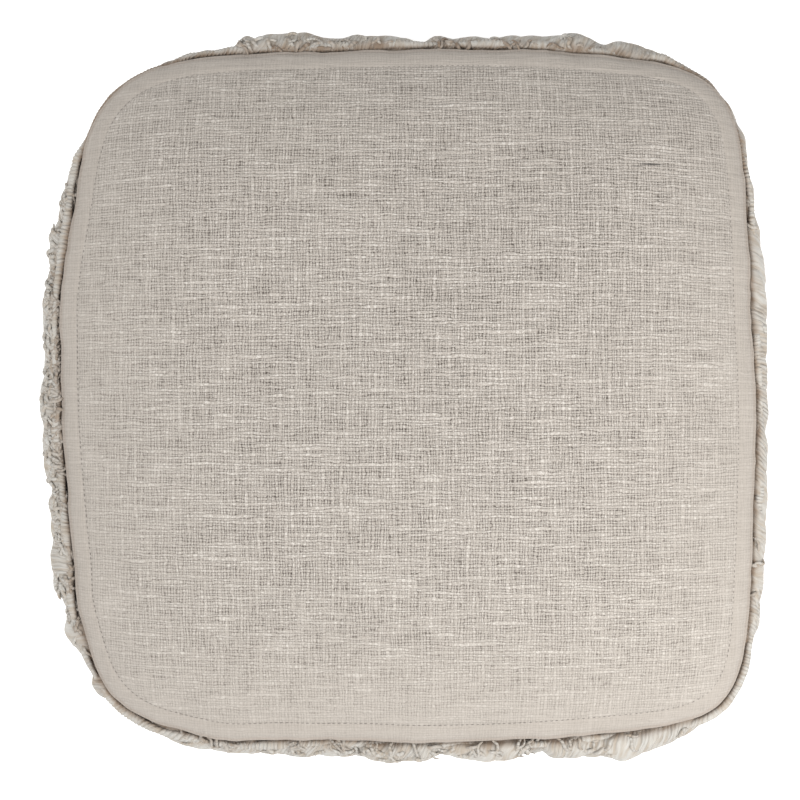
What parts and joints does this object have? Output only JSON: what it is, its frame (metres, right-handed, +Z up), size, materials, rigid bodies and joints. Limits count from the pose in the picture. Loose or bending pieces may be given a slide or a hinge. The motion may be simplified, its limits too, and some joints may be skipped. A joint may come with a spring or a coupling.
{
  "type": "cube pouf stool",
  "caption": "Square stuffed pouf with a crowned panel of slub cotton on top and sides of chunky thick-and-thin roving laid round it in rows.",
  "frame": {"origin": "middle of the footprint, on the surface that the pouf stands on", "axes": "+Z up through the crown of the top panel; +X to the right and +Y to the back, as the top panel is seen from above in the picture"},
  "size_m": [0.4684, 0.4682, 0.44],
  "materials": {
    "slub_cotton": "undyed plain weave of slub cotton, matt",
    "roving": "undyed thick-and-thin roving, softly twisted, matt and hairy"
  },
  "bodies": {
    "root": {"base_panel": "slub_cotton", "side_band": "roving", "top_panel": "slub_cotton"}
  },
  "joints": []
}
